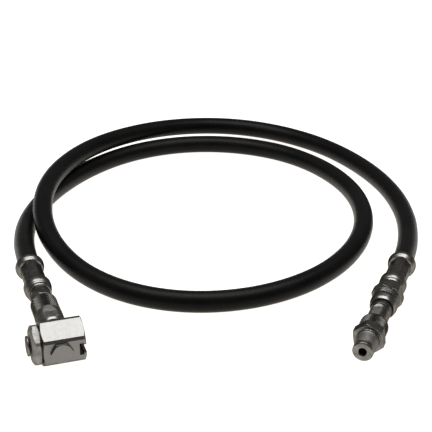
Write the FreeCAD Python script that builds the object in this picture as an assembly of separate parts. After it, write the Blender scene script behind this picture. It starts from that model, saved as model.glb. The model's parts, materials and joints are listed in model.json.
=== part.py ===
import FreeCAD, Part
import math
import os

# Hydraulic grease hose assembly lying on a flat surface: a loop and a half of
# wire-braid hose with a live swivel and a tapered pipe nose on one end, and a
# swivelling button-head coupler with a side inlet on the other.
# Millimetres, +Z up, z = 0 is the surface that it lies on.  The origin is
# under the middle of the two end fittings, which both point towards -Y.

V = FreeCAD.Vector
os.makedirs("parts", exist_ok=True)

# ---------------------------------------------------------------- dimensions
# Hose: 3/8 inch bore, one wire braid.
HOSE_OD = 17.4
BRAID_OD = 14.9
TUBE_OD = 13.7
HOSE_BORE = 9.5

# Crimped ferrule, the same on both ends; x runs from its front to the hose.
FERRULE_LEN = 46.0
FERRULE_LIP = 4.5          # front wall that grips the stem
FRONT_COLLAR_R = 10.9
REAR_COLLAR_R = 11.6
CRIMP_R = 8.95
CRIMP_FLAT_R = 8.4         # distance from the axis to each flat
CRIMP_FLATS = 8
COVER_GRIP = 8.0           # the cover is cut back to here, to grip the wire
STEM_R = 6.2               # stem where the ferrule's lip holds it
STEM_BORE_R = 3.0

# Button-head coupler end.  Its fitting axis starts at the block's axis.
COUPLER_XY = (-113.82, -57.36)
COUPLER_HEADING = 108.22   # degrees from +X, towards the hose
BLOCK_AF = 31.75           # hexagon bar across flats, 1 1/4 inch
BLOCK_R = 17.64            # its corners turned down to this radius
COUPLER_Z = BLOCK_R
BLOCK_X = (-13.2, 17.8)
INLET_FACE = BLOCK_AF / 2
SLEEVE_X = (20.4, 57.7)
SLEEVE_R = 10.6
SLEEVE_SMOOTH_END = 36.0   # knurl from here to the sleeve's rear end
SLEEVE_FLAT_R = 9.1
SWIVEL_R = 5.95
SWIVEL_GAP = 0.08          # radial running clearance
BALL_ROW_X = 48.0
COUPLER_FERRULE_X = 77.0

# Jaw for a button head: T-slot across the block's end.
JAW_CAVITY_X = (12.6, 15.8)
JAW_CAVITY_HALF = 4.7
JAW_NECK_HALF = 3.3

# Seal piston inside the block.
PISTON_BORE_R = 7.0
PISTON_BORE_X = (-6.6, 8.5)
PISTON_X = (2.4, 8.4)      # head of the piston, resting on its forward stop
PISTON_R = 6.92
PISTON_NOSE_R = 4.4
PISTON_PASSAGE_R = 1.4
SEAL_SEAT_X = 12.5
PISTON_STEM_R = 2.0
CAP_AF = 28.6
CAP_X = (-20.0, -14.2)
KNOB_R = 7.5
KNOB_X = (-22.8, -20.3)

# Pipe nose end.  Its fitting axis starts at the nose's tip.
NOSE_XY = (104.10, -64.21)
NOSE_HEADING = 70.23
NOSE_Z = 12.6
NOSE_TIP_R = 7.75
NOSE_BASE_R = 8.4
NOSE_HEX_AF = 22.0         # the swivel housing is the same bar
NOSE_HEX_X = (17.8, 26.6)
COLLAR_X = (26.6, 40.0)
COLLAR_R = 11.05
SPINDLE_R = 8.0
SPINDLE_FLAT_R = 6.8
HOUSING_X = (66.5, 93.6)
HOUSING_R = 10.75
HOUSING_HEX_X = 82.0
HOUSING_RECESS_R = 8.8
NOSE_FERRULE_X = 101.0
NOSE_BALL_ROW_X = 75.0
BALL_R = 1.5
RACE_GAP = 0.1             # balls run this clear of the race that they turn in

# Hose centreline, chosen by hand.  The first two and last two points lie on
# the fitting axes, so the hose runs straight inside each ferrule.
ROUTE = [
    (-140.08, 22.43, 17.64), (-153.22, 62.32, 17.64), (-166, 111, 14.5),
    (-170, 169, 9.5), (-158, 229, 8.7), (-130, 286, 8.7), (-89, 331, 8.7),
    (-37, 355, 8.7), (19, 354, 8.7), (71, 330, 8.7), (110, 285, 8.7),
    (133, 226, 8.7), (135, 162, 8.7), (117, 102, 8.7), (81, 52, 8.7),
    (32, 21, 8.7), (-23, 13, 8.7), (-76, 31, 8.7), (-120, 71, 10.5),
    (-150, 124, 19), (-159, 185, 27), (-150, 248, 27.6), (-123, 305, 27),
    (-80, 352, 24), (-29, 386, 18), (23, 398, 12.5), (71, 385, 9.2),
    (113, 349, 8.7), (145, 298, 8.7), (166, 240, 8.7), (173, 179, 8.7),
    (167, 122, 10), (154.16, 75.07, 12.6), (140.46, 36.95, 12.6),
]


# ------------------------------------------------------------------- helpers
def turned(outline):
    """Solid of revolution about X from (x, radius) points and back along X."""
    points = [V(x, r, 0) for x, r in outline]
    face = Part.Face(Part.makePolygon(points + [points[0]]))
    return face.revolve(V(0, 0, 0), V(1, 0, 0), 360)


def bar(x0, x1, radius, chamfer=0.0):
    """Round bar along X with both ends chamfered."""
    outline = [(x0, 0), (x0, radius - chamfer), (x0 + chamfer, radius),
               (x1 - chamfer, radius), (x1, radius - chamfer), (x1, 0)]
    return turned([p for i, p in enumerate(outline) if i == 0 or p != outline[i - 1]])


def ring(x0, x1, outer, inner, chamfer=0.0):
    return bar(x0, x1, outer, chamfer).cut(bar(x0 - 1, x1 + 1, inner))


def hexagon(x0, x1, across_flats, turn=0.0):
    """Six-sided bar along X; turn=0 puts flats at +Z and -Z."""
    corner = across_flats / math.sqrt(3)
    angles = [math.radians(60 * k + turn) for k in range(7)]
    points = [V(x0, corner * math.cos(a), corner * math.sin(a)) for a in angles]
    return Part.Face(Part.makePolygon(points)).extrude(V(x1 - x0, 0, 0))


def turned_hexagon(x0, x1, across_flats, corner_r, chamfer=(0, 0), turn=0.0):
    """Hexagon with corners turned to corner_r and cone-chamfered ends."""
    drop = 0.58                       # 30 degree chamfer: length per radius
    front, rear = chamfer
    cone = turned([(x0, 0), (x0, corner_r - front), (x0 + front * drop, corner_r),
                   (x1 - rear * drop, corner_r), (x1, corner_r - rear), (x1, 0)])
    return hexagon(x0, x1, across_flats, turn).common(cone)


def flat_cut(x0, x1, distance, reach, angle, run_out=0.0, rise=0.0):
    """Cutter that mills a flat at this distance from the axis, facing angle.

    Over the last run_out of its length the flat climbs by rise."""
    outline = [(x0, distance), (x1 - run_out, distance)]
    if run_out:
        outline.append((x1, distance + rise))
    outline += [(x1, distance + reach), (x0, distance + reach), (x0, distance)]
    face = Part.Face(Part.makePolygon([V(x, -reach, z) for x, z in outline]))
    cutter = face.extrude(V(0, 2 * reach, 0))
    cutter.rotate(V(0, 0, 0), V(1, 0, 0), angle - 90)
    return cutter


def torus(x, major, minor):
    return Part.makeTorus(major, minor, V(x, 0, 0), V(1, 0, 0))


def ball_row(x, radius, count, size):
    """Bearing balls round the axis as one group of separate solids."""
    balls = []
    for k in range(count):
        a = 2 * math.pi * k / count
        balls.append(Part.makeSphere(size, V(x, radius * math.cos(a), radius * math.sin(a))))
    return Part.makeCompound(balls)


def placed(shape, xy, heading, height):
    """Turn a shape built along X to its heading and set its axis at height."""
    moved = shape.copy()
    moved.rotate(V(0, 0, 0), V(0, 0, 1), heading)
    moved.translate(V(xy[0], xy[1], height))
    return moved


def on_coupler_axis(shape):
    return placed(shape, COUPLER_XY, COUPLER_HEADING, COUPLER_Z)


def on_block_axis(shape):
    return placed(shape, COUPLER_XY, COUPLER_HEADING - 90, COUPLER_Z)


def on_nose_axis(shape):
    return placed(shape, NOSE_XY, NOSE_HEADING, NOSE_Z)


# ---------------------------------------------------------------------- hose
def route_edges(points):
    """Straight runs joined by tangent arcs, as large as their runs allow."""
    points = [V(*p) for p in points]
    edges, radii = [], []
    start = points[0]
    for before, corner, after in zip(points, points[1:], points[2:]):
        back = (before - corner).normalize()
        ahead = (after - corner).normalize()
        half_turn = (math.pi - back.getAngle(ahead)) / 2
        reach = 0.45 * min((before - corner).Length, (after - corner).Length)
        radius = reach / math.tan(half_turn)
        inward = (back + ahead).normalize()
        middle = corner + inward * (radius / math.cos(half_turn) - radius)
        arc_start, arc_end = corner + back * reach, corner + ahead * reach
        edges.append(Part.LineSegment(start, arc_start).toShape())
        edges.append(Part.Arc(arc_start, middle, arc_end).toShape())
        radii.append(radius)
        start = arc_end
    edges.append(Part.LineSegment(start, points[-1]).toShape())
    return edges, radii


def hose_layer(edges, outer_d, inner_d):
    """One concentric layer of the hose, swept along the route."""
    wire = Part.Wire(edges)
    first = edges[0]
    origin = first.valueAt(first.FirstParameter)
    heading = first.tangentAt(first.FirstParameter)
    disc = Part.Face(Part.Wire(Part.makeCircle(outer_d / 2, origin, heading)))
    hole = Part.Face(Part.Wire(Part.makeCircle(inner_d / 2, origin, heading)))
    layer = wire.makePipe(disc.cut(hole).Faces[0])
    expected = math.pi * (outer_d ** 2 - inner_d ** 2) / 4 * wire.Length
    print("layer", outer_d, "volume", round(layer.Volume), "expected", round(expected))
    return layer


def hose():
    edges, radii = route_edges(ROUTE)
    print("hose length", round(sum(e.Length for e in edges), 1))
    print("bend radii", [round(r) for r in radii], "smallest", round(min(radii), 1))
    skive = FERRULE_LEN - COVER_GRIP
    cover = hose_layer(edges, HOSE_OD, BRAID_OD)
    cover = cover.cut(on_coupler_axis(bar(COUPLER_FERRULE_X, COUPLER_FERRULE_X + skive, HOSE_OD)))
    cover = cover.cut(on_nose_axis(bar(NOSE_FERRULE_X, NOSE_FERRULE_X + skive, HOSE_OD)))
    return {
        "hose_cover": cover,
        "wire_braid": hose_layer(edges, BRAID_OD, TUBE_OD),
        "inner_tube": hose_layer(edges, TUBE_OD, HOSE_BORE),
    }


# ---------------------------------------------------- pieces on both ends
def ferrule(x0):
    """Crimped ferrule: two collars with a crimped length between them."""
    rear = x0 + FERRULE_LEN
    body = turned([
        (x0, 0), (x0, 9.1), (x0 + 0.7, 9.8), (x0 + 2.2, 10.5), (x0 + 4.6, FRONT_COLLAR_R),
        (x0 + 8.2, FRONT_COLLAR_R), (x0 + 10.0, 10.2), (x0 + 11.6, CRIMP_R),
        (rear - 10.2, CRIMP_R), (rear - 5.2, 11.4), (rear - 3.6, REAR_COLLAR_R),
        (rear - 1.8, REAR_COLLAR_R),
        (rear, 9.9), (rear, 0)])
    for k in range(CRIMP_FLATS):
        angle = 360 * k / CRIMP_FLATS
        body = body.cut(flat_cut(x0 + 11.0, rear - 9.8, CRIMP_FLAT_R, 14, angle))
    wire_socket = bar(x0 + FERRULE_LIP, rear + 1, BRAID_OD / 2)
    cover_socket = bar(rear - COVER_GRIP, rear + 1, HOSE_OD / 2)
    return body.cut(wire_socket).cut(cover_socket).cut(bar(x0 - 1, rear, STEM_R))


def stem_tail(x0):
    """Barbed tail that fills the hose bore inside a ferrule."""
    barb = HOSE_BORE / 2
    start = x0 + FERRULE_LIP
    outline = [(x0 - 0.5, 0), (x0 - 0.5, STEM_R), (start, STEM_R), (start, barb)]
    for k in range(5):
        x = start + 4 + 6 * k
        outline += [(x, barb), (x + 0.1, barb - 0.6), (x + 3, barb - 0.6), (x + 4.5, barb)]
    end = x0 + FERRULE_LEN - 4
    outline += [(end, barb), (end + 1.5, barb - 0.8), (end + 1.5, 0)]
    return turned(outline)


# ------------------------------------------------------- coupler end, swivel
def coupler_hose_stem():
    x0 = COUPLER_FERRULE_X
    tail = stem_tail(x0)
    shoulders = turned([
        (66.8, 0), (66.8, 8.0), (72.4, 8.0), (72.4, 9.4), (74.2, 9.4), (74.2, 8.4),
        (75.4, 8.4), (75.4, 9.9), (x0, 9.9), (x0, 0)])
    nut = turned_hexagon(60.0, 67.0, 15.9, 8.9, (0.8, 0.6), turn=12)
    spindle = bar(26.0, 60.5, SWIVEL_R, 0.6)
    stem = tail.fuse([shoulders, nut, spindle]).removeSplitter()
    stem = stem.cut(torus(BALL_ROW_X, SWIVEL_R, BALL_R + RACE_GAP))
    stem = stem.cut(ring(30.0, 32.4, SWIVEL_R + 1, 4.6))
    return stem.cut(bar(20, 140, STEM_BORE_R))


def swivel_sleeve():
    x0, x1 = SLEEVE_X
    body = turned([
        (7.5, 0), (7.5, 6.0), (8.2, 6.5), (INLET_FACE + 1.0, 6.5), (INLET_FACE + 1.0, 7.0),
        (x0, 8.95), (x0, SLEEVE_R - 1.6), (x0 + 1.6, SLEEVE_R), (x1 - 1.4, SLEEVE_R),
        (x1, SLEEVE_R - 1.4), (x1, 0)])
    for angle in (90, 270):
        body = body.cut(flat_cut(x0 - 1, SLEEVE_SMOOTH_END, SLEEVE_FLAT_R, 16, angle,
                                 run_out=7.0, rise=SLEEVE_R - SLEEVE_FLAT_R))
    body = body.cut(bar(25.0, 60, SWIVEL_R + SWIVEL_GAP)).cut(bar(0, 30, STEM_BORE_R))
    return body.cut(torus(BALL_ROW_X, SWIVEL_R, BALL_R))


def coupler_swivel_pieces():
    return {
        "coupler_ferrule": ferrule(COUPLER_FERRULE_X),
        "coupler_hose_stem": coupler_hose_stem(),
        "coupler_swivel_o_ring": torus(31.2, 5.3, 0.69),
        "swivel_sleeve": swivel_sleeve(),
        "coupler_swivel_balls": ball_row(BALL_ROW_X, SWIVEL_R, 11, BALL_R),
        "inlet_washer": ring(INLET_FACE, INLET_FACE + 1.0, 9.3, 6.5),
    }


# -------------------------------------------------------- coupler end, block
def coupler_block():
    """Hexagon bar block with the jaw, the piston bore and two cross ports."""
    x0, x1 = BLOCK_X
    block = turned_hexagon(x0, x1, BLOCK_AF, BLOCK_R, (2.2, 2.2), turn=30)
    reach = BLOCK_AF
    cavity = Part.makeBox(JAW_CAVITY_X[1] - JAW_CAVITY_X[0], 2 * reach, 2 * JAW_CAVITY_HALF,
                          V(JAW_CAVITY_X[0], -reach, -JAW_CAVITY_HALF))
    neck = Part.makeBox(6, 2 * reach, 2 * JAW_NECK_HALF,
                        V(JAW_CAVITY_X[1] - 1, -reach, -JAW_NECK_HALF))
    block = block.cut(cavity).cut(neck)
    block = block.cut(bar(x0 - 1, PISTON_BORE_X[0], 9.5)).cut(bar(*PISTON_BORE_X, PISTON_BORE_R))
    block = block.cut(bar(PISTON_BORE_X[1] - 1, JAW_CAVITY_X[0] + 1, PISTON_NOSE_R + 0.1))
    inlet = bar(7.3, INLET_FACE + 1, 6.5).fuse(bar(0, 9, 2.6))
    plug_port = bar(-INLET_FACE - 1, -8.0, 5.5).fuse(bar(-9, 0, 2.6))
    for port in (inlet, plug_port):
        port.rotate(V(0, 0, 0), V(0, 0, 1), 90)
        block = block.cut(port)
    return block


def rear_cap():
    x0, x1 = CAP_X
    head = turned_hexagon(x0, x1, CAP_AF, 15.9, (4.0, 0.8), turn=30)
    spigot = bar(x1 - 0.5, PISTON_BORE_X[0], 9.5, 0.4)
    cap = head.fuse(spigot).removeSplitter().cut(bar(-25, 0, PISTON_STEM_R + 0.08))
    return cap.cut(ring(-11.2, -9.4, 3.9, 1.0))


def seal_piston():
    rear, front = PISTON_X
    body = turned([
        (-21.6, 0), (-21.6, PISTON_STEM_R), (-1.6, PISTON_STEM_R), (-1.6, 3.0), (rear, 3.0),
        (rear, PISTON_R), (rear + 2.2, PISTON_R), (rear + 2.2, 5.4), (rear + 4.2, 5.4),
        (rear + 4.2, PISTON_R), (front, PISTON_R), (front, PISTON_NOSE_R),
        (SEAL_SEAT_X, PISTON_NOSE_R), (SEAL_SEAT_X, 2.6), (SEAL_SEAT_X - 1.4, 2.6),
        (SEAL_SEAT_X - 1.4, 0)])
    body = body.cut(bar(-0.9, SEAL_SEAT_X - 1, PISTON_PASSAGE_R))
    cross_port = Part.makeCylinder(0.9, 8, V(0.6, -4, 0), V(0, 1, 0))
    return body.cut(cross_port)


def face_seal():
    """Rubber face that presses on the button head, keyed into the piston."""
    root = ring(SEAL_SEAT_X - 1.4, SEAL_SEAT_X + 0.9, 2.6, PISTON_PASSAGE_R)
    face = ring(SEAL_SEAT_X, SEAL_SEAT_X + 0.9, PISTON_NOSE_R - 0.2, PISTON_PASSAGE_R)
    return root.fuse(face).removeSplitter()


def piston_spring():
    """Coils made of half turns, each tilted so that it meets the next in line."""
    half_turns, wire_r, mean_r = 9, 0.4, 4.3
    first = PISTON_BORE_X[0] + wire_r + 0.05
    rise = (PISTON_X[0] - wire_r - 0.05 - first) / half_turns
    turns = []
    for k in range(half_turns):
        side = 1 if k % 2 == 0 else -1
        start = V(first + k * rise, side * mean_r, 0)
        middle = V(first + (k + 0.5) * rise, 0, 0)
        tangent = V(0, 0, side)
        disc = Part.Face(Part.Wire(Part.makeCircle(wire_r, start, tangent)))
        turns.append(disc.revolve(middle, (start - middle).cross(tangent), 180))
    return turns[0].fuse(turns[1:]).removeSplitter()


def release_knob():
    x0, x1 = KNOB_X
    plate = x0 + 1.8
    return turned([
        (x0, 0), (x0, KNOB_R - 0.5), (x0 + 0.5, KNOB_R), (plate - 0.5, KNOB_R),
        (plate, KNOB_R - 0.5), (plate, 4.0), (x1, 4.0), (x1, PISTON_STEM_R),
        (-21.6, PISTON_STEM_R), (-21.6, 0)])


def side_plug():
    """Hexagon plug in the port opposite the inlet, built along -X."""
    head = turned_hexagon(-18.6, -15.9, 14.3, 8.2, (1.1, 0.3), turn=0)
    thread = bar(-16.2, -8.6, 5.5, 0.6)
    return head.fuse(thread).removeSplitter().cut(ring(-15.8, -14.4, 7, 4.3))


def coupler_block_pieces():
    return {
        "coupler_body": coupler_block(),
        "rear_cap": rear_cap(),
        "cap_washer": ring(CAP_X[1], BLOCK_X[0], 12.8, 9.5),
        "stem_seal": torus(-10.3, 2.95, 0.82),
        "seal_piston": seal_piston(),
        "face_seal": face_seal(),
        "piston_o_ring": torus(PISTON_X[0] + 3.2, 6.18, 0.75),
        "piston_spring": piston_spring(),
        "release_knob": release_knob(),
    }


# -------------------------------------------------------------- nose end
def nose_adapter():
    """Tapered pipe nose and hexagon, with a spigot into the spindle."""
    nose = turned([
        (0, 0), (0, NOSE_TIP_R - 0.9), (1.0, NOSE_TIP_R), (3.9, NOSE_TIP_R),
        (3.9, NOSE_TIP_R - 0.3), (4.4, NOSE_TIP_R - 0.3), (4.4, NOSE_TIP_R + 0.05),
        (15.6, NOSE_BASE_R), (NOSE_HEX_X[0] + 0.2, NOSE_BASE_R), (NOSE_HEX_X[0] + 0.2, 0)])
    nut = turned_hexagon(*NOSE_HEX_X, NOSE_HEX_AF, 12.65, (1.6, 1.6), turn=21.4)
    spigot = bar(NOSE_HEX_X[1] - 0.2, 52.0, 6.0, 0.5)
    return nose.fuse([nut, spigot]).removeSplitter().cut(bar(-1, 60, STEM_BORE_R))


def nose_spindle():
    body = turned([
        (COLLAR_X[1], 0), (COLLAR_X[1], SPINDLE_R - 0.5), (COLLAR_X[1] + 0.5, SPINDLE_R),
        (78.0, SPINDLE_R), (78.4, SPINDLE_R - 0.4), (78.4, 6.5), (80.4, 6.5), (80.4, 4.9), (82.4, 4.9),
        (82.4, 6.5), (84.0, 6.5), (84.0, 0)])
    for angle in (80, 260):
        body = body.cut(flat_cut(COLLAR_X[1] - 1, 59.8, SPINDLE_FLAT_R, 14, angle,
                                 run_out=3.0, rise=SPINDLE_R - SPINDLE_FLAT_R))
    body = body.cut(bar(39, 53.0, 6.0)).cut(bar(39, 90, STEM_BORE_R))
    return body.cut(torus(NOSE_BALL_ROW_X, SPINDLE_R, BALL_R))


def swivel_housing():
    x0, x1 = HOUSING_X
    round_part = turned([
        (x0, 0), (x0, 9.05), (x0 + 1.9, 10.15), (x0 + 5.2, HOUSING_R), (HOUSING_HEX_X, HOUSING_R),
        (HOUSING_HEX_X + 1.5, HOUSING_R - 0.4), (HOUSING_HEX_X + 1.5, 0)])
    nut = turned_hexagon(HOUSING_HEX_X, x1, NOSE_HEX_AF, 12.6, (1.5, 1.3), turn=14)
    body = round_part.fuse(nut).removeSplitter()
    body = body.cut(bar(x0 - 1, 78.6, SPINDLE_R + SWIVEL_GAP))
    body = body.cut(bar(x0 - 1, x0 + 3.8, HOUSING_RECESS_R))
    body = body.cut(bar(78, 86.5, 6.5 + SWIVEL_GAP)).cut(bar(86, x1 + 1, 6.0))
    return body.cut(torus(NOSE_BALL_ROW_X, SPINDLE_R, BALL_R + RACE_GAP))


def nose_hose_stem():
    x0 = NOSE_FERRULE_X
    shoulders = turned([
        (87.5, 0), (87.5, 5.6), (87.9, 6.0), (HOUSING_X[1], 6.0), (HOUSING_X[1], 9.0),
        (95.2, 9.0), (95.2, 8.0), (98.4, 8.0), (98.4, 9.7), (x0, 9.7), (x0, 0)])
    return stem_tail(x0).fuse(shoulders).removeSplitter().cut(bar(80, 160, STEM_BORE_R))


def nose_pieces():
    return {
        "nose_adapter": nose_adapter(),
        "knurled_collar": ring(*COLLAR_X, COLLAR_R, 6.0, 0.8),
        "nose_spindle": nose_spindle(),
        "adapter_washer": ring(52.0, 53.0, 5.8, 3.2),
        "nose_swivel_o_ring": torus(81.4, 5.72, 0.8),
        "nose_swivel_balls": ball_row(NOSE_BALL_ROW_X, SPINDLE_R, 14, BALL_R),
        "dust_wiper": ring(67.5, 69.0, HOUSING_RECESS_R - 0.04, SPINDLE_R + 0.06, 0.1),
        "retaining_ring": ring(69.1, 70.2, HOUSING_RECESS_R - 0.04, SPINDLE_R + 0.3),
        "swivel_housing": swivel_housing(),
        "nose_hose_stem": nose_hose_stem(),
        "nose_ferrule": ferrule(NOSE_FERRULE_X),
    }


# ------------------------------------------------------------------- output
def build():
    nodes = dict(hose())
    for name, shape in coupler_swivel_pieces().items():
        nodes[name] = on_coupler_axis(shape)
    for name, shape in coupler_block_pieces().items():
        nodes[name] = on_block_axis(shape)
    nodes["side_plug"] = on_coupler_axis(side_plug())
    nodes["side_plug_seal"] = on_coupler_axis(ring(-15.8, -14.5, 5.4, 4.35))
    for name, shape in nose_pieces().items():
        nodes[name] = on_nose_axis(shape)
    return nodes


HOSE_NODES = ("hose_cover", "wire_braid", "inner_tube")
fittings = FreeCAD.BoundBox()
for node, solid in build().items():
    if not solid.isValid():
        print("not valid:", node)
    solid.exportStep("parts/" + node + ".step")
    if node not in HOSE_NODES:
        fittings.add(solid.optimalBoundingBox(False))
print("box round the fittings:", fittings)
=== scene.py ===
import json
import math

import bmesh
import bpy
from mathutils import Matrix, Vector


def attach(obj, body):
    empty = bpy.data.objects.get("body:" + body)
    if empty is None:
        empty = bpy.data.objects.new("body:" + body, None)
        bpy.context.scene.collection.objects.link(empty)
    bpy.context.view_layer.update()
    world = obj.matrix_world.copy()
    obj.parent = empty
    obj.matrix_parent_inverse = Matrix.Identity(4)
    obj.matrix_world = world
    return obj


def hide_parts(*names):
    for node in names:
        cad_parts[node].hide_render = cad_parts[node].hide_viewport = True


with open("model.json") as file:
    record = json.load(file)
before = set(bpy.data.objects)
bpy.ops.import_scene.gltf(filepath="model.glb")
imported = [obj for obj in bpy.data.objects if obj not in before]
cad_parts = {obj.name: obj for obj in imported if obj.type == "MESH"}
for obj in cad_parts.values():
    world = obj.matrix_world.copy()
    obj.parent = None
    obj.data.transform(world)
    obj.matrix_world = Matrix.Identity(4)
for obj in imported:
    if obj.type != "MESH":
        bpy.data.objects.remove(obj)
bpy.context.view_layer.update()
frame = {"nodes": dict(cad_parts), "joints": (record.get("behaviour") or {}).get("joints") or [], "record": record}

# Looks of a hydraulic grease hose assembly: a loop and a half of hose lying on
# the floor, a button-head coupler on its left end and a pipe nose on its right.
# Objects are in metres. Outlines of machined pieces are (along, radius) points
# in millimetres, measured in the frame of the fitting axis that they turn on.

MM = 0.001
joints = {j["name"]: j for j in frame["joints"]}


# ------------------------------------------------------------ fitting axes
def axis_frame(origin, direction):
    """Frame at origin with X along direction and Z as near to up as it can be."""
    x = Vector(direction).normalized()
    y = Vector((0, 0, 1)).cross(x).normalized()
    turn = Matrix((x, y, x.cross(y))).transposed().to_4x4()
    return Matrix.Translation(Vector(origin)) @ turn


COUPLER = axis_frame(joints["coupler_swivel"]["pos_m"], joints["coupler_swivel"]["axis"])
BLOCK = axis_frame(joints["coupler_swivel"]["pos_m"], joints["seal_piston_slide"]["axis"])
NOSE = axis_frame(joints["nose_swivel"]["pos_m"], joints["nose_swivel"]["axis"])


def span(node, place):
    """(start, end, radius) in millimetres of a CAD node along one fitting axis."""
    inward = place.inverted()
    points = [inward @ v.co for v in frame["nodes"][node].data.vertices]
    along = [p.x for p in points]
    radius = max(math.hypot(p.y, p.z) for p in points)
    return min(along) / MM, max(along) / MM, radius / MM


# --------------------------------------------------------------- hose facts
HOSE_RADIUS = 0.0087
# The cover starts and ends just inside the ferrules' mouths.
ROUTE = [
    (-0.15009, 0.05282, 0.01764), (-0.15322, 0.06232, 0.01764), (-0.166, 0.111, 0.0145),
    (-0.170, 0.169, 0.0095), (-0.158, 0.229, 0.0087), (-0.130, 0.286, 0.0087),
    (-0.089, 0.331, 0.0087), (-0.037, 0.355, 0.0087), (0.019, 0.354, 0.0087),
    (0.071, 0.330, 0.0087), (0.110, 0.285, 0.0087), (0.133, 0.226, 0.0087),
    (0.135, 0.162, 0.0087), (0.117, 0.102, 0.0087), (0.081, 0.052, 0.0087),
    (0.032, 0.021, 0.0087), (-0.023, 0.013, 0.0087), (-0.076, 0.031, 0.0087),
    (-0.120, 0.071, 0.0105), (-0.150, 0.124, 0.019), (-0.159, 0.185, 0.027),
    (-0.150, 0.248, 0.0276), (-0.123, 0.305, 0.027), (-0.080, 0.352, 0.024),
    (-0.029, 0.386, 0.018), (0.023, 0.398, 0.0125), (0.071, 0.385, 0.0092),
    (0.113, 0.349, 0.0087), (0.145, 0.298, 0.0087), (0.166, 0.240, 0.0087),
    (0.173, 0.179, 0.0087), (0.167, 0.122, 0.010), (0.15416, 0.07507, 0.0126),
    (0.15146, 0.06754, 0.0126),
]


# ------------------------------------------------------------------- shapes
def rounded(outline, size):
    """The outline with a small three-step round on each of its corners."""
    points = [Vector(p) for p in outline]
    smooth = [points[0]]
    for before, corner, after in zip(points, points[1:], points[2:]):
        back, ahead = before - corner, after - corner
        if back.length < 1e-6 or ahead.length < 1e-6 or back.angle(ahead) > math.radians(172):
            smooth.append(corner)
            continue
        cut_back = back.normalized() * min(size, 0.45 * back.length)
        cut_ahead = ahead.normalized() * min(size, 0.45 * ahead.length)
        for t in (0, 1 / 3, 2 / 3, 1):
            smooth.append(corner + cut_back * (1 - t) ** 2 + cut_ahead * t ** 2)
    smooth.append(points[-1])
    return smooth


def soft_min(a, b, k):
    """The smaller of two lengths, rounded over where they are about equal."""
    h = min(1.0, max(0.0, 0.5 + 0.5 * (b - a) / k))
    return b * (1 - h) + a * h - k * h * (1 - h)


def flat_radius(angle, centres, distance):
    """Distance from the axis to the nearest of several flats, at this angle."""
    off = min(abs((angle - c + math.pi) % (2 * math.pi) - math.pi) for c in centres)
    return distance / math.cos(off) if off < math.radians(80) else 1e3


def even_angles(count):
    return [2 * math.pi * k / count for k in range(count)]


def sided_angles(sides, first_flat, edge, step=3.0):
    """Ring angles with extra ones at both edges of each corner's turned strip."""
    sector = 360 / sides
    found = set()
    for k in range(sides):
        corner = first_flat + sector * (k + 0.5)
        for off in (0, edge - 0.6, edge, edge + 0.6, edge + 1.6):
            found.add(round((corner + off) % 360, 3))
            found.add(round((corner - off) % 360, 3))
        reach = sector / 2 - edge - 1.6
        count = max(1, round(reach / step))
        for i in range(-count, count + 1):
            centre = first_flat + sector * k
            found.add(round((centre + reach * 0.97 * i / (count + 0.5)) % 360, 3))
    return [math.radians(a) for a in sorted(found)]


class Turned:
    """A piece turned on a lathe, with flats or knurling where it has them.

    It is a row of rings with the same number of points, from the front to the
    rear outside and back along the bore, so that it closes into a solid."""

    def __init__(self, angles):
        self.angles = angles
        self.rings = []
        self.cuts = {}

    def outline(self, points, edge=0.25, flats=None, distance=0, fine=None, soft=0.2):
        """Rings along an outline; flats are the angles of flats cut across it."""
        path = rounded(points, edge)
        if fine:
            path = self.divided(path, fine)
        for s, r in path:
            self.ring(s, r, flats, distance, soft)

    def ring(self, s, r, flats=None, distance=0, soft=0.2):
        if flats:
            radii = [soft_min(r, flat_radius(a, flats, distance), soft) for a in self.angles]
        else:
            radii = [r] * len(self.angles)
        self.rings.append((s, radii))

    def run_out(self, start, end, radius, flats, distance, steps=10):
        """Rings along which the flats climb from distance to the full radius."""
        for k in range(1, steps + 1):
            climbed = distance + (radius - distance) * k / steps
            self.ring(start + (end - start) * k / steps, radius, flats, climbed, 0.1)

    @staticmethod
    def divided(path, step):
        finer = [path[0]]
        for a, b in zip(path, path[1:]):
            count = max(1, math.ceil((b - a).length / step)) if abs(b.y - a.y) > 1e-4 else 1
            finer += [a + (b - a) * (k + 1) / count for k in range(count)]
        return finer

    def knurl(self, start, end, radius, depth):
        """Diamond knurl: every second point of each ring stands at full height,
        and each square between them is split along the groove."""
        pitch = 2 * math.pi * radius / len(self.angles)
        rows = round((end - start) / (KNURL_STRETCH * pitch))
        for row in range(rows + 1):
            s = start + (end - start) * row / rows
            ring = []
            for k in range(len(self.angles)):
                raised = (row + k) % 2 == 0 and 0 < row < rows
                ring.append(radius if raised else radius - depth)
            if row:
                self.cuts[len(self.rings)] = row
            self.rings.append((s, ring))

    def piece(self, name, place, material):
        """Makes the mesh object, placed in the frame of its fitting axis."""
        n = len(self.angles)
        spokes = [(math.cos(a), math.sin(a)) for a in self.angles]
        mesh = bmesh.new()
        grid = []
        for s, ring in self.rings:
            grid.append([mesh.verts.new((s * MM, r * c * MM, r * q * MM))
                         for r, (c, q) in zip(ring, spokes)])
        for i in range(len(grid)):
            here, there = grid[i - 1], grid[i]
            row = self.cuts.get(i)
            for k in range(n):
                j = (k + 1) % n
                a, b, c, d = here[k], here[j], there[j], there[k]
                if row is None:
                    mesh.faces.new((a, b, c, d))
                elif (row + k) % 2 == 1:
                    mesh.faces.new((a, b, d))
                    mesh.faces.new((b, c, d))
                else:
                    mesh.faces.new((a, b, c))
                    mesh.faces.new((a, c, d))
        bmesh.ops.remove_doubles(mesh, verts=mesh.verts, dist=1e-7)
        bmesh.ops.dissolve_degenerate(mesh, edges=mesh.edges, dist=1e-8)
        bmesh.ops.recalc_face_normals(mesh, faces=mesh.faces)
        return finished(name, mesh, place, material, sharp=12 if self.cuts else 38)


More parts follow.
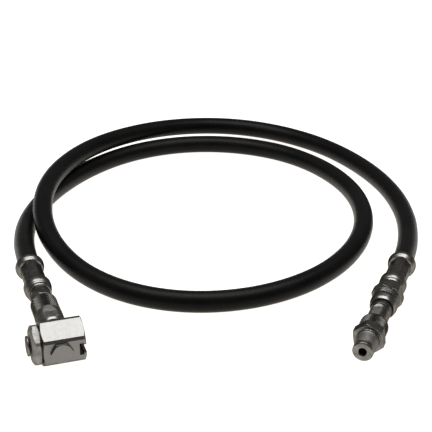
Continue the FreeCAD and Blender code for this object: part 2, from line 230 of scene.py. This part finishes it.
def finished(name, mesh, place, material, sharp=38):
    """Turns a bmesh into an object in the row frame, shaded by its own edges."""
    data = bpy.data.meshes.new(name)
    mesh.to_mesh(data)
    mesh.free()
    data.transform(place)
    for face in data.polygons:
        face.use_smooth = True
    data.set_sharp_from_angle(angle=math.radians(sharp))
    data.materials.append(material)
    made = bpy.data.objects.new(name, data)
    bpy.context.scene.collection.objects.link(made)
    weighted = made.modifiers.new("even_shading", "WEIGHTED_NORMAL")
    weighted.keep_sharp = True
    return made


def paint(made, place, material, inside):
    """Gives a second material to the faces that inside(along, radius) picks, in mm."""
    made.data.materials.append(material)
    inward = place.inverted()
    for face in made.data.polygons:
        x, y, z = (inward @ face.center) / MM
        if inside(x, math.hypot(y, z)):
            face.material_index = len(made.data.materials) - 1
    return made


def show(made, body, slot, *nodes):
    """Puts a finished piece on its body in place of its CAD nodes."""
    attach(made, body)
    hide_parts(*nodes)
    return made


# ---------------------------------------------------------------- materials
class Shader:
    """A material's node tree, with the few links that every material here needs."""

    def __init__(self, name):
        self.material = bpy.data.materials.new(name)
        self.material.use_nodes = True
        self.nodes = self.material.node_tree.nodes
        self.links = self.material.node_tree.links
        self.surface = self.nodes["Principled BSDF"]

    def add(self, kind, **values):
        node = self.nodes.new("ShaderNode" + kind)
        for key, value in values.items():
            setattr(node, key, value)
        return node

    def join(self, source, target):
        self.links.new(source, target)

    def position(self, place):
        """Surface position in metres, in the frame of a fitting axis."""
        coords = self.add("TexCoord")
        inward = self.add("Mapping", vector_type="TEXTURE")
        inward.inputs["Location"].default_value = place.to_translation()
        inward.inputs["Rotation"].default_value = place.to_euler()
        self.join(coords.outputs["Object"], inward.inputs["Vector"])
        return inward.outputs["Vector"]

    def noise(self, position, scale, stretch=(1, 1, 1), detail=3.0):
        """Noise with this many features per metre, stretched along the axes."""
        mapping = self.add("Mapping")
        mapping.inputs["Scale"].default_value = [scale * k for k in stretch]
        self.join(position, mapping.inputs["Vector"])
        texture = self.add("TexNoise")
        texture.inputs["Scale"].default_value = 1.0
        texture.inputs["Detail"].default_value = detail
        self.join(mapping.outputs["Vector"], texture.inputs["Vector"])
        return texture.outputs["Fac"]

    def spread(self, source, low, high, to_low, to_high):
        node = self.add("MapRange")
        limits = {"From Min": low, "From Max": high, "To Min": to_low, "To Max": to_high}
        for key, value in limits.items():
            node.inputs[key].default_value = value
        self.join(source, node.inputs["Value"])
        return node.outputs["Result"]

    def shades(self, source, dark, light, low=0.35, high=0.65):
        ramp = self.add("ValToRGB")
        first, last = ramp.color_ramp.elements
        first.position, last.position = low, high
        first.color, last.color = (*dark, 1), (*light, 1)
        self.join(source, ramp.inputs["Fac"])
        return ramp.outputs["Color"]

    def bump(self, source, height, under=None):
        node = self.add("Bump")
        node.inputs["Distance"].default_value = height
        self.join(source, node.inputs["Height"])
        if under is not None:
            self.join(under, node.inputs["Normal"])
        return node.outputs["Normal"]

    def set(self, **values):
        for key, value in values.items():
            self.surface.inputs[key.replace("_", " ")].default_value = value


EDGE_SHADE_TINT = (0.36, 0.345, 0.32, 1)   # painted shade: edge-on reflections are darkened to stand in for the shaded floor near the parts
# Noise features per metre.
BLOTCHES, SMEARS, TURNING_LINES, SPECKLE = 240, 700, 60, 5200


def steel(name, place, tone, rough=(0.24, 0.40), turning=0.000006, grain=0.000004, blotch=0.2):
    """Plated steel: blotches in colour and gloss, lathe lines and a fine grain."""
    shader = Shader(name)
    position = shader.position(place)
    blotches = shader.noise(position, BLOTCHES, detail=4)
    light = [min(1.0, c * (1 + blotch)) for c in tone]
    dark = [c * (1 - blotch) for c in tone]
    shader.join(shader.shades(blotches, dark, light), shader.surface.inputs["Base Color"])
    smears = shader.noise(position, SMEARS, stretch=(2.5, 1, 1))
    shader.join(shader.spread(smears, 0.3, 0.7, *rough), shader.surface.inputs["Roughness"])
    lines = shader.noise(position, TURNING_LINES, stretch=(70, 1, 1), detail=2)
    speckle = shader.noise(position, SPECKLE, detail=2)
    normal = shader.bump(lines, turning)
    shader.join(shader.bump(speckle, grain, normal), shader.surface.inputs["Normal"])
    # The edge tint is painted shade: it darkens the edge-on reflections of the floor.
    shader.set(Metallic=1.0, Specular_Tint=EDGE_SHADE_TINT)
    return shader.material


def hose_rubber():
    """Smooth black hose cover with a faint bloom, scuffs and a fine texture."""
    shader = Shader("hose_rubber")
    coords = shader.add("TexCoord").outputs["Object"]
    bloom = shader.noise(coords, 38, detail=5)
    shader.join(shader.shades(bloom, (0.0018, 0.0018, 0.0019), (0.0038, 0.0037, 0.0036)),
                shader.surface.inputs["Base Color"])
    scuffs = shader.noise(coords, 420, detail=5)
    shader.join(shader.spread(scuffs, 0.3, 0.7, 0.36, 0.46), shader.surface.inputs["Roughness"])
    wrap = shader.noise(coords, 900, detail=2)
    grain = shader.noise(coords, 4200, detail=2)
    normal = shader.bump(wrap, 0.00002)
    shader.join(shader.bump(grain, 0.000008, normal), shader.surface.inputs["Normal"])
    shader.set(IOR=1.25, Specular_Tint=(0.5, 0.5, 0.48, 1))
    return shader.material


def seal_rubber(name, tone):
    shader = Shader(name)
    coords = shader.add("TexCoord").outputs["Object"]
    mottle = shader.noise(coords, 900)
    shader.join(shader.shades(mottle, [c * 0.7 for c in tone], [c * 1.3 for c in tone]),
                shader.surface.inputs["Base Color"])
    shader.join(shader.spread(mottle, 0.3, 0.7, 0.45, 0.62), shader.surface.inputs["Roughness"])
    shader.join(shader.bump(shader.noise(coords, 3600), 0.00001), shader.surface.inputs["Normal"])
    return shader.material


def braid():
    """Woven wire: two families of strands at the neutral angle."""
    shader = Shader("braid_wire")
    coords = shader.add("TexCoord").outputs["Object"]
    weave = shader.add("TexWave", wave_type="BANDS", bands_direction="DIAGONAL")
    weave.inputs["Scale"].default_value = 900
    shader.join(coords, weave.inputs["Vector"])
    shader.join(shader.shades(weave.outputs["Fac"], (0.25, 0.25, 0.25), (0.6, 0.6, 0.58), 0.2, 0.8),
                shader.surface.inputs["Base Color"])
    shader.join(shader.bump(weave.outputs["Fac"], 0.0001), shader.surface.inputs["Normal"])
    shader.set(Metallic=1.0, Roughness=0.35)
    return shader.material


TONE = (0.165, 0.160, 0.151)
BRIGHT_TONE = (0.170, 0.167, 0.162)
# Painted shade: the knurled steel is darker than TONE to stand in for the shade in the knurl's fine grooves.
KNURL_SHADE_TONE = (0.085, 0.083, 0.077)
MATT_TONE = (0.20, 0.195, 0.185)
SLEEVE_TONE = (0.125, 0.122, 0.115)
CAP_TONE = (0.22, 0.215, 0.205)
MATT = (0.46, 0.6)               # roughness of surfaces left as they were machined
KNURLED = (0.26, 0.36)
coupler_steel = steel("coupler_steel", COUPLER, TONE)
nose_steel = steel("nose_steel", NOSE, TONE)
shaded_knurl_coupler = steel("knurled_steel_shaded_coupler", COUPLER, KNURL_SHADE_TONE, KNURLED, blotch=0.08)
shaded_knurl_nose = steel("knurled_steel_shaded_nose", NOSE, KNURL_SHADE_TONE, KNURLED, blotch=0.08)
block_steel = steel("block_steel", BLOCK, BRIGHT_TONE, (0.28, 0.38), turning=0.000002, grain=0.000001,
                    blotch=0.03)
cap_steel = steel("cap_steel", BLOCK, CAP_TONE, MATT, grain=0.00002)
matt_nose = steel("matt_steel_nose", NOSE, MATT_TONE, MATT)
matt_coupler = steel("matt_steel_coupler", COUPLER, SLEEVE_TONE, MATT)
ground_steel = steel("ground_steel", BLOCK, (0.55, 0.55, 0.54), (0.16, 0.24))
washer_metal = steel("washer_metal", BLOCK, (0.10, 0.10, 0.10), (0.4, 0.55))
BY_SLOT = {
    "hose_rubber": hose_rubber(),
    "braid_wire": braid(),
    "tube_rubber": seal_rubber("tube_rubber", (0.02, 0.02, 0.02)),
    "ferrule_steel": nose_steel,
    "fitting_steel": nose_steel,
    "knurled_steel": shaded_knurl_nose,
    "body_steel": block_steel,
    "hardened_steel": ground_steel,
    "spring_steel": ground_steel,
    "seal_rubber": seal_rubber("seal_rubber", (0.014, 0.014, 0.015)),
    "soft_washer": washer_metal,
}
for part in frame["record"]["subparts"]:
    data = frame["nodes"][part["node"]].data
    data.materials.clear()
    data.materials.append(BY_SLOT[part["material_slot"]])


# --------------------------------------------------------------------- hose
def hose():
    """The cover, one smooth spline along the route."""
    curve = bpy.data.curves.new("hose", "CURVE")
    curve.dimensions = "3D"
    curve.bevel_depth = HOSE_RADIUS
    curve.bevel_resolution = 8
    curve.resolution_u = 10
    spline = curve.splines.new("NURBS")
    spline.points.add(len(ROUTE) - 1)
    for point, at in zip(spline.points, ROUTE):
        point.co = (*at, 1)
    spline.order_u = 3
    spline.use_endpoint_u = True
    curve.materials.append(BY_SLOT["hose_rubber"])
    made = bpy.data.objects.new("hose", curve)
    bpy.context.scene.collection.objects.link(made)
    show(made, "hose_assembly", "hose_rubber", "hose_cover", "wire_braid", "inner_tube")


# ------------------------------------------------- pieces on both hose ends
CRIMPS = 8
CRIMP_FLAT = 8.4
CRIMP_RADIUS = 8.95
LIP_BORE = 6.2
WIRE_BORE = 7.45
COVER_GRIP = 8.0
KNURL_DEPTH = 0.45
KNURL_STRETCH = 1.7          # diamonds are this much longer than wide


def corner_strip(across, corner, sides=6):
    """Half the angle of the turned strip left at each corner of a bar."""
    return 180 / sides - math.degrees(math.acos(across / 2 / corner))


def ferrule(node, place, material):
    """Crimped ferrule: front collar, die flats and a flared rear collar."""
    x0, x1, radius = span(node, place)
    front, mouth = 10.9, HOSE_RADIUS / MM
    flats = [2 * math.pi * k / CRIMPS for k in range(CRIMPS)]
    made = Turned(sided_angles(CRIMPS, 0, corner_strip(2 * CRIMP_FLAT, CRIMP_RADIUS, CRIMPS)))
    made.outline([(x0, LIP_BORE + 0.02), (x0, 9.1), (x0 + 0.7, 9.8), (x0 + 2.2, 10.5),
                  (x0 + 4.6, front), (x0 + 8.2, front), (x0 + 10.0, 10.2)], edge=0.6)
    made.outline([(x0 + 10.0, 10.2), (x0 + 11.6, CRIMP_RADIUS), (x1 - 10.2, CRIMP_RADIUS),
                  (x1 - 8.6, 9.73)],
                 edge=0.5, flats=flats, distance=CRIMP_FLAT, fine=0.3, soft=0.16)
    made.outline([(x1 - 8.2, 9.93), (x1 - 5.2, 11.4), (x1 - 3.6, radius), (x1 - 1.8, radius),
                  (x1 - 0.2, 10.1), (x1, 9.7), (x1, mouth + 0.05)], edge=0.5)
    made.outline([(x1 - 1.0, mouth), (x1 - COVER_GRIP, mouth), (x1 - COVER_GRIP, WIRE_BORE),
                  (x0 + 4.5, WIRE_BORE), (x0 + 4.5, LIP_BORE), (x0, LIP_BORE)])
    return made.piece(node + "_crimped", place, material)


def hexagon_flats(turn):
    """Directions of a hexagon's six flats; turn is the direction of one corner."""
    return [math.radians(turn + 30 + 60 * k) for k in range(6)]


# --------------------------------------------------------- coupler end pieces
def coupler_stem():
    """Hose stem: spindle inside the sleeve, short hexagon and two rings."""
    x0, x1, _ = span("coupler_hose_stem", COUPLER)
    across, corner, turn, bore = 15.9, 8.9, 12, 3.0
    made = Turned(sided_angles(6, turn + 30, corner_strip(across, corner)))
    made.outline([(x0, bore + 0.3), (x0, 5.4), (x0 + 0.6, 5.95), (60.0, 5.95), (60.0, 7.6)], edge=0.2)
    made.outline([(60.0, 7.6), (60.0, 8.1), (60.5, corner), (66.6, corner), (67.0, 8.3),
                  (67.0, 8.0)],
                 edge=0.15, flats=hexagon_flats(turn), distance=across / 2, fine=0.2)
    made.outline([(67.1, 8.0), (72.4, 8.0), (72.4, 8.85), (73.5, 9.4), (74.2, 9.4), (74.2, 8.4),
                  (75.4, 8.4), (75.4, 9.3), (76.6, 9.9), (76.95, 9.9), (76.95, 6.2), (81.5, 6.2),
                  (81.5, 4.75)], edge=0.3)
    made.outline([(81.5, 4.75), (x1 - 1.5, 4.75), (x1, 4.0), (x1, bore), (x0, bore)])
    return made.piece("coupler_hose_stem_turned", COUPLER, coupler_steel)


def sleeve():
    """Swivel sleeve: wrench flats on its front half and knurl behind them."""
    x0, x1, radius = span("swivel_sleeve", COUPLER)
    neck, shoulder, flat_end, run_out, flat, bore = 8.95, 20.4, 36.0, 7.0, 9.1, 6.03
    flats = [math.radians(90), math.radians(270)]
    made = Turned(even_angles(96))
    made.outline([(x0, 3.2), (x0, 6.0), (x0 + 0.7, 6.5), (16.9, 6.5), (16.9, 7.0),
                  (shoulder, neck)], edge=0.15)
    made.outline([(shoulder, neck), (shoulder, radius - 1.6), (shoulder + 1.6, radius),
                  (flat_end - run_out, radius)],
                 edge=0.35, flats=flats, distance=flat, fine=0.5, soft=0.12)
    made.run_out(flat_end - run_out, flat_end, radius, flats, flat)
    made.knurl(flat_end + 0.2, x1 - 1.9, radius, KNURL_DEPTH)
    made.outline([(x1 - 1.6, radius - 0.3), (x1 - 1.2, radius - 0.5), (x1, radius - 1.6), (x1, bore),
                  (25.0, bore), (25.0, 3.0), (x0, 3.0)], edge=0.25)
    piece = made.piece("swivel_sleeve_knurled", COUPLER, matt_coupler)
    # The knurled part gets the darker steel, whose tone is painted shade for its grooves.
    paint(piece, COUPLER, shaded_knurl_coupler, lambda x, r: x > flat_end and r > bore + 1)
    return paint(piece, COUPLER, coupler_steel, lambda x, r: x < shoulder)


def cap():
    """Hexagon cap on the rear of the block, with a wide outer chamfer."""
    x0, x1, _ = span("rear_cap", BLOCK)
    across, corner, bore, joint, spigot = 28.6, 15.9, 2.08, -14.2, 9.5
    made = Turned(sided_angles(6, 60, corner_strip(across, corner)))
    made.outline([(x0, bore + 0.05), (x0, 10.0)], edge=0.2)
    made.outline([(x0, 10.0), (x0, corner - 4.0), (x0 + 2.3, corner), (joint - 0.46, corner),
                  (joint, corner - 0.8), (joint, 12.0)],
                 edge=0.25, flats=hexagon_flats(30), distance=across / 2, fine=0.22)
    made.outline([(joint, 12.0), (joint, spigot), (x1 - 0.4, spigot), (x1, spigot - 0.4), (x1, bore),
                  (x0, bore)], edge=0.15)
    return made.piece("rear_cap_turned", BLOCK, cap_steel)


def knob():
    """Pull knob on the piston stem: a dished disc with rounded rims."""
    x0, x1, radius = span("release_knob", BLOCK)
    neck, bore = 4.0, 2.0
    made = Turned(even_angles(96))
    plate = x0 + 1.8
    made.outline([(x0 + 0.5, 0.0), (x0 + 0.5, 4.6), (x0, 5.4), (x0, radius - 0.6), (x0 + 0.6, radius),
                  (plate - 0.5, radius), (plate, radius - 0.6), (plate, neck), (x1, neck),
                  (x1, bore), (-21.6, bore), (-21.6, 0.0)], edge=0.25)
    return made.piece("release_knob_turned", BLOCK, block_steel)


# ------------------------------------------------------------ nose end pieces
def nose():
    """Tapered nose with its pilot land and groove, and the hexagon behind it."""
    x0, x1, _ = span("nose_adapter", NOSE)
    tip, base, across, corner, turn, bore = 7.75, 8.4, 22.0, 12.65, 21.4, 3.0
    hex_front, hex_rear = 17.8, 26.6
    made = Turned(sided_angles(6, turn + 30, corner_strip(across, corner)))
    made.outline([(x0 + 0.5, bore), (x0, bore + 0.5), (x0, tip - 0.9), (x0 + 1.0, tip), (3.9, tip),
                  (3.95, tip - 0.3), (4.35, tip - 0.3), (4.4, tip + 0.08), (15.2, base),
                  (16.0, base + 0.25), (17.3, base + 0.25), (hex_front, base + 0.5),
                  (hex_front, 9.8)], edge=0.18)
    made.outline([(hex_front, 9.8), (hex_front, corner - 1.6), (hex_front + 0.93, corner),
                  (hex_rear - 0.93, corner), (hex_rear, corner - 1.6), (hex_rear, 9.0)],
                 edge=0.22, flats=hexagon_flats(turn), distance=across / 2, fine=0.22)
    made.outline([(hex_rear, 9.0), (hex_rear, 6.0), (x1 - 0.5, 6.0), (x1, 5.5), (x1, bore),
                  (x0 + 0.5, bore)], edge=0.2)
    piece = made.piece("nose_adapter_turned", NOSE, nose_steel)
    return paint(piece, NOSE, matt_nose, lambda x, r: 4.4 < x < 16 and r > tip - 1)


def collar():
    """Knurled collar behind the nose hexagon."""
    x0, x1, radius = span("knurled_collar", NOSE)
    bore = 6.02
    made = Turned(even_angles(92))
    made.outline([(x0, bore), (x0, radius - 1.3), (x0 + 1.1, radius - 0.35)], edge=0.25)
    made.knurl(x0 + 1.2, x1 - 0.9, radius, KNURL_DEPTH)
    made.outline([(x1 - 0.8, radius - 0.35), (x1, radius - 1.0), (x1, bore), (x0, bore)], edge=0.25)
    # The collar's darker steel tone is painted shade for its knurl grooves.
    return made.piece("knurled_collar_cut", NOSE, shaded_knurl_nose)


def spindle():
    """Swivel spindle: milled flats where it shows, ball race inside."""
    x0, x1, radius = span("nose_spindle", NOSE)
    flat_end, run_out, flat, bore, end = 59.8, 3.0, 6.8, 3.0, 6.5
    flats = [math.radians(80), math.radians(260)]
    made = Turned(even_angles(144))
    made.outline([(x0, 6.1), (x0, radius - 0.5), (x0 + 0.5, radius), (flat_end - run_out, radius)],
                 edge=0.15, flats=flats, distance=flat, fine=0.4, soft=0.1)
    made.run_out(flat_end - run_out, flat_end, radius, flats, flat)
    made.outline([(flat_end, radius), (60.9, radius), (61.0, radius - 0.06), (61.3, radius - 0.06),
                  (61.4, radius), (73.5, radius), (74.2, radius - 1.1), (75.8, radius - 1.1),
                  (76.5, radius), (78.0, radius), (78.4, radius - 0.4), (78.4, end), (x1, end),
                  (x1, bore), (53.0, bore), (53.0, 6.02), (x0, 6.02)], edge=0.12)
    piece = made.piece("nose_spindle_milled", NOSE, nose_steel)
    milled_end = flat_end - run_out
    return paint(piece, NOSE, matt_nose, lambda x, r: x < milled_end and flat < r < radius - 0.3)


def housing():
    """Swivel housing: bevelled front rim, turned body and hexagon behind."""
    x0, x1, _ = span("swivel_housing", NOSE)
    radius, recess, bore, inner = 10.75, 8.8, 8.08, 6.05
    across, corner, turn, hex_front = 22.0, 12.6, 14, 82.0
    made = Turned(sided_angles(6, turn + 30, corner_strip(across, corner)))
    made.outline([(x0 + 3.8, bore), (x0 + 3.8, recess), (x0 + 0.2, recess), (x0, recess + 0.15),
                  (x0, 9.05), (x0 + 1.9, 10.15), (x0 + 5.2, radius), (75.0, radius)], edge=0.2)
    for k in range(5):
        x = 75.6 + 1.15 * k
        made.outline([(x, radius), (x + 0.15, radius - 0.13), (x + 0.5, radius - 0.13),
                      (x + 0.65, radius)], edge=0.06)
    made.outline([(hex_front - 0.5, radius), (hex_front, radius - 0.35), (hex_front, 10.9)], edge=0.15)
    made.outline([(hex_front, 10.9), (hex_front, 11.1), (hex_front + 0.9, corner),
                  (x1 - 0.75, corner), (x1, corner - 1.3), (x1, 9.6)],
                 edge=0.22, flats=hexagon_flats(turn), distance=across / 2, fine=0.22)
    made.outline([(x1, 9.6), (x1, inner), (84.5, inner), (84.5, 6.58), (78.6, 6.58), (78.6, bore),
                  (x0 + 3.8, bore)], edge=0.15)
    return made.piece("swivel_housing_turned", NOSE, nose_steel)


def nose_stem():
    """Hose stem behind the housing, with the ring that shows before the ferrule."""
    x0, x1, _ = span("nose_hose_stem", NOSE)
    bore = 3.0
    made = Turned(even_angles(96))
    made.outline([(x0, bore + 0.3), (x0, 5.6), (x0 + 0.4, 6.0), (93.62, 6.0), (93.62, 9.0),
                  (95.2, 9.0), (95.2, 8.0), (98.4, 8.0), (98.4, 8.9), (100.0, 9.7), (100.95, 9.7),
                  (100.95, 6.2), (105.5, 6.2), (105.5, 4.75), (x1 - 1.5, 4.75), (x1, 4.0), (x1, bore),
                  (x0, bore)], edge=0.3)
    return made.piece("nose_hose_stem_turned", NOSE, nose_steel)


# ----------------------------------------------------- bevelled CAD outlines
def bevelled(node, name, material, width=0.00025):
    """A CAD node's own shape with its flat faces made whole and its edges broken."""
    mesh = bmesh.new()
    mesh.from_mesh(frame["nodes"][node].data)
    bmesh.ops.remove_doubles(mesh, verts=mesh.verts, dist=2e-6)
    bmesh.ops.dissolve_limit(mesh, angle_limit=math.radians(0.5), verts=mesh.verts, edges=mesh.edges)
    bmesh.ops.recalc_face_normals(mesh, faces=mesh.faces)
    made = finished(name, mesh, Matrix.Identity(4), material, sharp=50)
    edges = made.modifiers.new("broken_edges", "BEVEL")
    edges.width = width
    edges.segments = 2
    edges.limit_method = "ANGLE"
    edges.angle_limit = math.radians(24)
    edges.harden_normals = True
    made.modifiers.move(len(made.modifiers) - 1, 0)
    return made


hose()
show(ferrule("coupler_ferrule", COUPLER, coupler_steel), "hose_assembly", "ferrule_steel",
     "coupler_ferrule")
show(ferrule("nose_ferrule", NOSE, nose_steel), "hose_assembly", "ferrule_steel", "nose_ferrule")
show(coupler_stem(), "hose_assembly", "fitting_steel", "coupler_hose_stem")
show(sleeve(), "coupler_head", "knurled_steel", "swivel_sleeve")
show(bevelled("coupler_body", "coupler_block", block_steel), "coupler_head", "body_steel",
     "coupler_body")
show(bevelled("side_plug", "side_plug_hex", block_steel, 0.0002), "coupler_head", "body_steel",
     "side_plug")
show(cap(), "coupler_head", "body_steel", "rear_cap")
show(knob(), "seal_piston", "body_steel", "release_knob")
show(nose(), "nose_end", "fitting_steel", "nose_adapter")
show(collar(), "nose_end", "knurled_steel", "knurled_collar")
show(spindle(), "nose_end", "fitting_steel", "nose_spindle")
show(housing(), "hose_assembly", "fitting_steel", "swivel_housing")
show(nose_stem(), "hose_assembly", "fitting_steel", "nose_hose_stem")


# ---------------------------------------------------- floor, light and camera
FLOOR_HALF_SIZE = 4.0
FLOOR_GLOW = (1, 0.955, 0.90, 1)
CAMERA_AT = (-0.0004, -0.7397, 0.4349)
CAMERA_TILT = 65              # degrees from straight down
LENS, SENSOR = 92.3, 36


def floor():
    mesh = bmesh.new()
    bmesh.ops.create_grid(mesh, x_segments=8, y_segments=8, size=FLOOR_HALF_SIZE)
    shader = Shader("studio_floor")
    coords = shader.add("TexCoord").outputs["Object"]
    shader.join(shader.shades(shader.noise(coords, 12), (0.24, 0.24, 0.24), (0.27, 0.27, 0.27)),
                shader.surface.inputs["Base Color"])
    shader.set(Roughness=0.9, Emission_Strength=1.08, Emission_Color=FLOOR_GLOW)
    finished("studio_floor", mesh, Matrix.Identity(4), shader.material)


def softbox(name, at, target, wide, tall, power):
    light = bpy.data.lights.new(name, "AREA")
    light.shape = "RECTANGLE"
    light.size, light.size_y = wide, tall
    light.energy = power
    made = bpy.data.objects.new(name, light)
    made.location = at
    made.rotation_euler = (Vector(target) - Vector(at)).to_track_quat("-Z", "Y").to_euler()
    bpy.context.scene.collection.objects.link(made)


def camera():
    data = bpy.data.cameras.new("camera")
    data.lens = LENS
    data.sensor_width = SENSOR
    made = bpy.data.objects.new("camera", data)
    made.location = CAMERA_AT
    made.rotation_euler = (math.radians(CAMERA_TILT), 0, 0)
    bpy.context.scene.collection.objects.link(made)
    bpy.context.scene.camera = made


def studio():
    world = bpy.data.worlds.new("studio")
    world.use_nodes = True
    backdrop = world.node_tree.nodes["Background"]
    backdrop.inputs["Color"].default_value = (1, 1, 1, 1)
    backdrop.inputs["Strength"].default_value = 0.15
    bpy.context.scene.world = world
    bpy.context.scene.view_settings.view_transform = "Standard"
    softbox("overhead", (0, 0.15, 1.3), (0, 0.15, 0), wide=1.5, tall=0.9, power=25)


floor()
studio()
camera()
